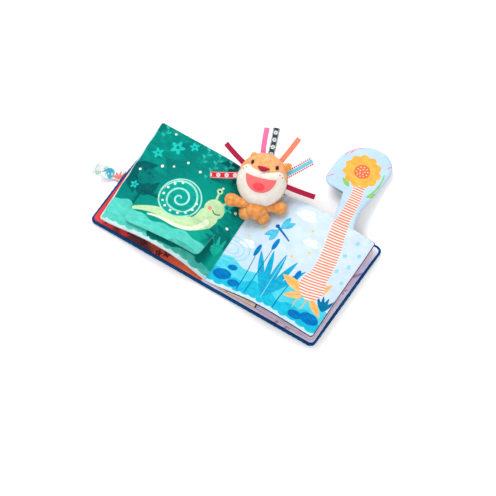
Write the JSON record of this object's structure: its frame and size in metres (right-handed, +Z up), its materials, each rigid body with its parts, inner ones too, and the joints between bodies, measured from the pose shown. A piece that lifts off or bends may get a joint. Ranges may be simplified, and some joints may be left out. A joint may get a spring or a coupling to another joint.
{
  "type": "crinkle cloth book",
  "caption": "Soft padded cloth book lying open, with puffy crinkle leaves, a lift flap, a fold-out neck panel, an edge tab and a plush doll with ribbon loops.",
  "frame": {"origin": "underside of the spine, at the middle of the spine's width and of the book's height", "axes": "+X across the open book, from the front cover towards the back cover; +Y from the pages' lower edge to their upper edge; +Z up from the table"},
  "size_m": [0.4444, 0.3297, 0.0802],
  "materials": {
    "navy_cloth": "matte",
    "soft_board": "matte",
    "crinkle_film": "gloss",
    "red_lining": "matte",
    "lilac_lining": "matte",
    "green_print": "matte",
    "mint_cloth": "matte",
    "sky_print": "matte",
    "maroon_cloth": "matte",
    "cream_print": "matte",
    "orange_print": "matte",
    "printed_tape": "matte",
    "orange_plush": "matte",
    "white_fleece": "matte",
    "squeaker_plastic": "satin",
    "crimson_felt": "matte",
    "coral_felt": "matte",
    "red_felt": "matte",
    "dark_thread": "satin",
    "red_ribbon": "satin",
    "crimson_ribbon": "satin",
    "pink_ribbon": "satin",
    "navy_ribbon": "satin",
    "coral_ribbon": "satin",
    "striped_ribbon": "satin"
  },
  "bodies": {
    "back_cover": {"back_cover_board": "soft_board", "back_cover_lining": "lilac_lining", "back_cover_shell": "navy_cloth", "spine_shell": "navy_cloth", "spine_lining": "lilac_lining", "gutter_seam": "mint_cloth"},
    "front_cover": {"front_cover_board": "soft_board", "front_cover_lining": "red_lining", "front_cover_shell": "navy_cloth"},
    "edge_tab": {"edge_tab": "printed_tape"},
    "front_leaf": {"front_leaf_upper_cloth": "green_print", "front_leaf_lower_cloth": "mint_cloth", "front_leaf_crinkle_film": "crinkle_film"},
    "top_leaf": {"top_leaf_upper_cloth": "sky_print", "top_leaf_lower_cloth": "maroon_cloth", "top_leaf_crinkle_film": "crinkle_film"},
    "middle_leaf": {"middle_leaf_upper_cloth": "cream_print", "middle_leaf_lower_cloth": "orange_print", "middle_leaf_crinkle_film": "crinkle_film"},
    "flap": {"flap_upper_cloth": "green_print", "flap_lower_cloth": "mint_cloth", "flap_crinkle_film": "crinkle_film"},
    "neck_panel": {"neck_panel_upper_cloth": "sky_print", "neck_panel_lower_cloth": "mint_cloth", "neck_panel_crinkle_film": "crinkle_film"},
    "doll": {"doll_head_back": "orange_plush", "doll_squeaker": "squeaker_plastic", "doll_crown": "orange_plush", "doll_muzzle": "white_fleece", "doll_nose": "crimson_felt", "doll_mouth": "coral_felt", "doll_tongue": "red_felt", "doll_eye_left": "dark_thread", "doll_eye_right": "dark_thread", "doll_ear_left": "orange_plush", "doll_ear_right": "orange_plush", "doll_torso": "orange_plush", "doll_leg_left": "orange_plush", "doll_leg_right": "orange_plush", "ribbon_coral": "coral_ribbon", "ribbon_crimson_left": "crimson_ribbon", "ribbon_crimson_right": "crimson_ribbon", "ribbon_navy": "navy_ribbon", "ribbon_pink": "pink_ribbon", "ribbon_red_left": "red_ribbon", "ribbon_striped": "striped_ribbon"},
    "doll_arm_left": {"doll_arm_left": "orange_plush"},
    "doll_arm_right": {"doll_arm_right": "orange_plush"}
  },
  "joints": [
    {"name": "front_cover_fold", "type": "hinge", "parent": "back_cover", "child": "front_cover", "pos_m": [-0.013, 0, 0.0074], "axis": [0, 1, 0], "range_deg": [0, 95]},
    {"name": "front_leaf_turn", "type": "hinge", "parent": "back_cover", "child": "front_leaf", "pos_m": [0, 0, 0.011], "axis": [0, 1, 0], "range_deg": [0, 95]},
    {"name": "top_leaf_lift", "type": "hinge", "parent": "back_cover", "child": "top_leaf", "pos_m": [0, 0, 0.011], "axis": [0, 1, 0], "range_deg": [-4.8, 0]},
    {"name": "middle_leaf_lift", "type": "hinge", "parent": "back_cover", "child": "middle_leaf", "pos_m": [0, 0, 0.011], "axis": [0, 1, 0], "range_deg": [-2.4, 0]},
    {"name": "doll_lift", "type": "slide", "parent": "back_cover", "child": "doll", "axis": [0, 0, 1], "range_m": [0, 0.2325]},
    {"name": "flap_open", "type": "hinge", "parent": "front_leaf", "child": "flap", "pos_m": [-0.154, -0.0245, 0.0445], "axis": [1, 0, 0], "range_deg": [-120, 0]},
    {"name": "neck_panel_fold", "type": "hinge", "parent": "top_leaf", "child": "neck_panel", "pos_m": [0.12, 0.0916, 0.037], "axis": [-1, 0, 0], "range_deg": [-150, 0]},
    {"name": "edge_tab_fold", "type": "hinge", "parent": "front_cover", "child": "edge_tab", "pos_m": [-0.2012, -0.0075, 0.0046], "axis": [0, 1, 0], "range_deg": [0, 45]},
    {"name": "doll_arm_left_swing", "type": "hinge", "parent": "doll", "child": "doll_arm_left", "pos_m": [-0.01, 0.04, 0.0375], "axis": [0, 0, 1], "range_deg": [-8, 8]},
    {"name": "doll_arm_right_swing", "type": "hinge", "parent": "doll", "child": "doll_arm_right", "pos_m": [0.0245, 0.0545, 0.033], "axis": [0, 0, 1], "range_deg": [-8, 8]}
  ],
  "couplings": [
    {"joint": "front_leaf_turn", "follows": "front_cover_fold", "ratio": 1},
    {"joint": "top_leaf_lift", "follows": "front_cover_fold", "ratio": -0.05},
    {"joint": "middle_leaf_lift", "follows": "front_cover_fold", "ratio": -0.025},
    {"joint": "doll_lift", "follows": "front_cover_fold", "m_per_rad": 0.14}
  ]
}
